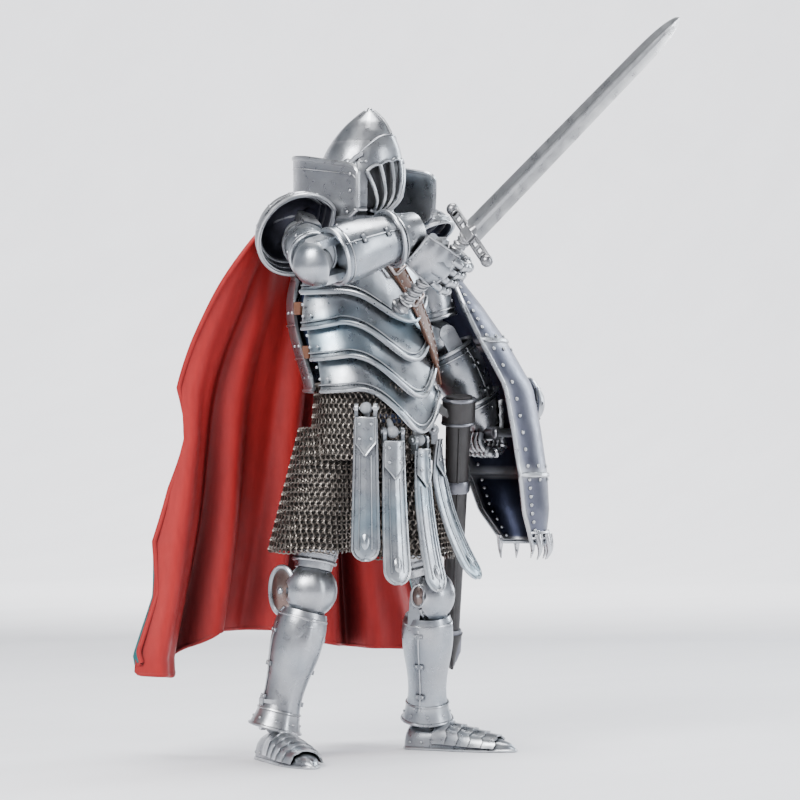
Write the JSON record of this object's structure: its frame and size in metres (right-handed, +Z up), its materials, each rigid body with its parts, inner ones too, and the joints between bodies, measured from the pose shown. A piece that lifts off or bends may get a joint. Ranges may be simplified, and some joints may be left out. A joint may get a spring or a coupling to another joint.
{
  "type": "action figure",
  "caption": "Jointed armoured knight figure standing on two feet, with sword, curved shield, scabbard, hanging tassets, mail skirts and a moulded cape.",
  "frame": {"origin": "on the ground under the middle of the whole figure", "axes": "+Z up from the soles, the figure faces -Y, its left hand is towards +X"},
  "size_m": [0.0984, 0.123, 0.1725],
  "materials": {
    "steel_paint": "silver paint with dark wash",
    "joint_grey": "moulded grey plastic",
    "mail": "bronze-black plastic with silver links",
    "undersuit": "navy plastic",
    "leather": "brown painted strap",
    "scabbard_dark": "dark plastic with worn silver edges",
    "sword_metal": "bright silver paint",
    "shield_dark": "dark blue-grey metallic",
    "claw_silver": "silver paint",
    "cape_vinyl": "red inside and teal outside"
  },
  "bodies": {
    "pelvis": {"hip_block": "undersuit", "belly_plate_lower": "steel_paint", "belt_pegs": "joint_grey"},
    "waist": {"waist_joint": "joint_grey"},
    "torso": {"torso_core": "undersuit", "breastplate": "steel_paint", "belly_plate_upper": "steel_paint", "belly_plate_middle": "steel_paint", "backplate": "steel_paint", "gorget": "steel_paint", "neck_guard": "steel_paint", "baldric": "leather", "side_straps": "leather"},
    "neck": {"neck_joint": "joint_grey"},
    "head": {"head_core": "undersuit", "helmet": "steel_paint", "visor": "steel_paint"},
    "scabbard": {"scabbard": "scabbard_dark", "scabbard_fittings": "scabbard_dark"},
    "sword": {"sword_grip": "sword_metal", "sword_crossguard": "sword_metal", "sword_blade": "sword_metal"},
    "shield": {"shield_middle": "shield_dark", "shield_upper": "shield_dark", "shield_lower": "shield_dark", "shield_boss": "shield_dark", "shield_claws": "claw_silver", "shield_grip": "shield_dark"},
    "cape": {"cape": "cape_vinyl"},
    "tasset_1": {"tasset_1": "steel_paint"},
    "tasset_2": {"tasset_2": "steel_paint"},
    "tasset_3": {"tasset_3": "steel_paint"},
    "tasset_4": {"tasset_4": "steel_paint"},
    "thigh_right": {"thigh_right": "steel_paint", "mail_skirt_right": "mail"},
    "hip_joint_right": {"hip_joint_right": "joint_grey"},
    "knee_guard_right": {"knee_guard_right": "steel_paint"},
    "shin_right": {"shin_right": "steel_paint"},
    "ankle_joint_right": {"ankle_joint_right": "joint_grey"},
    "foot_right": {"foot_right": "steel_paint"},
    "shoulder_joint_right": {"shoulder_joint_right": "joint_grey"},
    "pauldron_right": {"pauldron_right": "steel_paint"},
    "upper_arm_right": {"upper_arm_right": "steel_paint"},
    "elbow_joint_right": {"elbow_joint_right": "joint_grey"},
    "forearm_right": {"forearm_right": "steel_paint"},
    "hand_right": {"hand_right": "steel_paint"},
    "thigh_left": {"thigh_left": "steel_paint", "mail_skirt_left": "mail"},
    "hip_joint_left": {"hip_joint_left": "joint_grey"},
    "knee_guard_left": {"knee_guard_left": "steel_paint"},
    "shin_left": {"shin_left": "steel_paint"},
    "ankle_joint_left": {"ankle_joint_left": "joint_grey"},
    "foot_left": {"foot_left": "steel_paint"},
    "shoulder_joint_left": {"shoulder_joint_left": "joint_grey"},
    "pauldron_left": {"pauldron_left": "steel_paint"},
    "upper_arm_left": {"upper_arm_left": "steel_paint"},
    "elbow_joint_left": {"elbow_joint_left": "joint_grey"},
    "forearm_left": {"forearm_left": "steel_paint"},
    "hand_left": {"hand_left": "steel_paint"}
  },
  "joints": [
    {"name": "waist_turn", "type": "hinge", "parent": "pelvis", "child": "waist", "pos_m": [-0.00418, 0.0254, 0.088], "axis": [0, 0, 1], "range_deg": [-5, 12]},
    {"name": "waist_bend", "type": "hinge", "parent": "waist", "child": "torso", "pos_m": [-0.00418, 0.0254, 0.088], "axis": [1, 0, 0], "range_deg": [-4, 5]},
    {"name": "neck_nod", "type": "hinge", "parent": "torso", "child": "neck", "pos_m": [-0.00418, 0.0284, 0.126], "axis": [1, 0, 0], "range_deg": [-6, 6]},
    {"name": "head_turn", "type": "hinge", "parent": "neck", "child": "head", "pos_m": [-0.00418, 0.0284, 0.126], "axis": [0, -0.1322, 0.9912], "range_deg": [-40, 40]},
    {"name": "tasset_1_swing", "type": "hinge", "parent": "pelvis", "child": "tasset_1", "pos_m": [-0.01778, 0.0136, 0.084], "axis": [-0.5846, 0.8113, 0], "range_deg": [-3, 30]},
    {"name": "tasset_2_swing", "type": "hinge", "parent": "pelvis", "child": "tasset_2", "pos_m": [-0.01208, 0.0102, 0.0784], "axis": [-0.8581, 0.5135, 0], "range_deg": [-3, 30]},
    {"name": "tasset_3_swing", "type": "hinge", "parent": "pelvis", "child": "tasset_3", "pos_m": [-0.00318, 0.0094, 0.0765], "axis": [-0.9975, -0.0712, 0], "range_deg": [-3, 30]},
    {"name": "tasset_4_swing", "type": "hinge", "parent": "pelvis", "child": "tasset_4", "pos_m": [0.00562, 0.0122, 0.079], "axis": [-0.7526, -0.6585, 0], "range_deg": [-3, 30]},
    {"name": "scabbard_swing", "type": "hinge", "parent": "pelvis", "child": "scabbard", "pos_m": [0.01342, 0.0186, 0.0845], "axis": [-0.2631, -0.9648, 0], "range_deg": [-3, 12]},
    {"name": "cape_tilt", "type": "hinge", "parent": "torso", "child": "cape", "pos_m": [-0.00418, 0.0389, 0.126], "axis": [1, 0, 0], "range_deg": [0, 12]},
    {"name": "hip_swing_right", "type": "hinge", "parent": "pelvis", "child": "hip_joint_right", "pos_m": [-0.01318, 0.0274, 0.078], "axis": [-1, 0, 0], "range_deg": [-8, 7]},
    {"name": "hip_spread_right", "type": "hinge", "parent": "hip_joint_right", "child": "thigh_right", "pos_m": [-0.01318, 0.0274, 0.078], "axis": [0, 1, 0], "range_deg": [-3, 6]},
    {"name": "knee_bend_right", "type": "hinge", "parent": "thigh_right", "child": "shin_right", "pos_m": [-0.02068, 0.0289, 0.0405], "axis": [0.8996, -0.4368, 0], "range_deg": [0, 30]},
    {"name": "knee_guard_follow_right", "type": "hinge", "parent": "thigh_right", "child": "knee_guard_right", "pos_m": [-0.02068, 0.0289, 0.0405], "axis": [0.8996, -0.4368, 0], "range_deg": [0, 15]},
    {"name": "ankle_tilt_right", "type": "hinge", "parent": "shin_right", "child": "ankle_joint_right", "pos_m": [-0.02668, 0.0344, 0.0085], "axis": [0.8996, -0.4368, 0], "range_deg": [-6, 6]},
    {"name": "foot_turn_right", "type": "hinge", "parent": "ankle_joint_right", "child": "foot_right", "pos_m": [-0.02668, 0.0344, 0.0085], "axis": [0, 0, 1], "range_deg": [-12, 12]},
    {"name": "shoulder_swing_right", "type": "hinge", "parent": "torso", "child": "shoulder_joint_right", "pos_m": [-0.02618, 0.0274, 0.1253], "axis": [1, 0, 0], "range_deg": [-20, 6]},
    {"name": "shoulder_lift_right", "type": "hinge", "parent": "shoulder_joint_right", "child": "upper_arm_right", "pos_m": [-0.02618, 0.0274, 0.1253], "axis": [0, -0.4187, 0.9081], "range_deg": [-12, 6]},
    {"name": "arm_twist_right", "type": "hinge", "parent": "upper_arm_right", "child": "elbow_joint_right", "pos_m": [-0.03848, 0.0107, 0.1176], "axis": [-0.556, -0.7548, -0.348], "range_deg": [-10, 20]},
    {"name": "elbow_bend_right", "type": "hinge", "parent": "elbow_joint_right", "child": "forearm_right", "pos_m": [-0.03848, 0.0107, 0.1176], "axis": [-0.3612, -0.1577, 0.919], "range_deg": [-75, 0]},
    {"name": "wrist_turn_right", "type": "hinge", "parent": "forearm_right", "child": "hand_right", "pos_m": [-0.01808, 0.0036, 0.1244], "axis": [0.9008, -0.3135, 0.3003], "range_deg": [-25, 6]},
    {"name": "pauldron_lift_right", "type": "hinge", "parent": "torso", "child": "pauldron_right", "pos_m": [-0.02098, 0.0304, 0.1332], "axis": [0, 1, 0], "range_deg": [0, 20]},
    {"name": "hip_swing_left", "type": "hinge", "parent": "pelvis", "child": "hip_joint_left", "pos_m": [0.00482, 0.0274, 0.078], "axis": [-1, 0, 0], "range_deg": [-8, 4.5]},
    {"name": "hip_spread_left", "type": "hinge", "parent": "hip_joint_left", "child": "thigh_left", "pos_m": [0.00482, 0.0274, 0.078], "axis": [0, -1, 0], "range_deg": [-3, 4]},
    {"name": "knee_bend_left", "type": "hinge", "parent": "thigh_left", "child": "shin_left", "pos_m": [0.01222, 0.0194, 0.0385], "axis": [0.952, 0.306, 0], "range_deg": [0, 30]},
    {"name": "knee_guard_follow_left", "type": "hinge", "parent": "thigh_left", "child": "knee_guard_left", "pos_m": [0.01222, 0.0194, 0.0385], "axis": [0.952, 0.306, 0], "range_deg": [0, 15]},
    {"name": "ankle_tilt_left", "type": "hinge", "parent": "shin_left", "child": "ankle_joint_left", "pos_m": [0.01782, 0.0242, 0.0085], "axis": [0.952, 0.306, 0], "range_deg": [-6, 6]},
    {"name": "foot_turn_left", "type": "hinge", "parent": "ankle_joint_left", "child": "foot_left", "pos_m": [0.01782, 0.0242, 0.0085], "axis": [0, 0, 1], "range_deg": [-12, 12]},
    {"name": "shoulder_swing_left", "type": "hinge", "parent": "torso", "child": "shoulder_joint_left", "pos_m": [0.01782, 0.0274, 0.1253], "axis": [1, 0, 0], "range_deg": [-20, 20]},
    {"name": "shoulder_lift_left", "type": "hinge", "parent": "shoulder_joint_left", "child": "upper_arm_left", "pos_m": [0.01782, 0.0274, 0.1253], "axis": [0, -0.9916, 0.1295], "range_deg": [-2, 20]},
    {"name": "arm_twist_left", "type": "hinge", "parent": "upper_arm_left", "child": "elbow_joint_left", "pos_m": [0.02312, 0.0245, 0.1031], "axis": [0.2304, -0.126, -0.9649], "range_deg": [-20, 20]},
    {"name": "elbow_bend_left", "type": "hinge", "parent": "elbow_joint_left", "child": "forearm_left", "pos_m": [0.02312, 0.0245, 0.1031], "axis": [-0.4535, -0.8912, 0.0081], "range_deg": [-8, 3]},
    {"name": "wrist_turn_left", "type": "hinge", "parent": "forearm_left", "child": "hand_left", "pos_m": [0.03242, 0.0196, 0.0848], "axis": [0.4407, -0.2322, -0.8671], "range_deg": [-25, 25]},
    {"name": "pauldron_lift_left", "type": "hinge", "parent": "torso", "child": "pauldron_left", "pos_m": [0.01262, 0.0304, 0.1332], "axis": [0, -1, 0], "range_deg": [0, 20]},
    {"name": "sword_turn", "type": "hinge", "parent": "hand_right", "child": "sword", "pos_m": [-0.00838, -0.0018, 0.1181], "axis": [0.1559, -0.7307, 0.6647], "continuous": true},
    {"name": "shield_tilt", "type": "hinge", "parent": "hand_left", "child": "shield", "pos_m": [0.03342, 0.0185, 0.0785], "axis": [0.419, 0.908, 0], "range_deg": [-2, 5]}
  ],
  "couplings": [
    {"joint": "knee_guard_follow_right", "follows": "knee_bend_right", "ratio": 0.5},
    {"joint": "knee_guard_follow_left", "follows": "knee_bend_left", "ratio": 0.5}
  ]
}
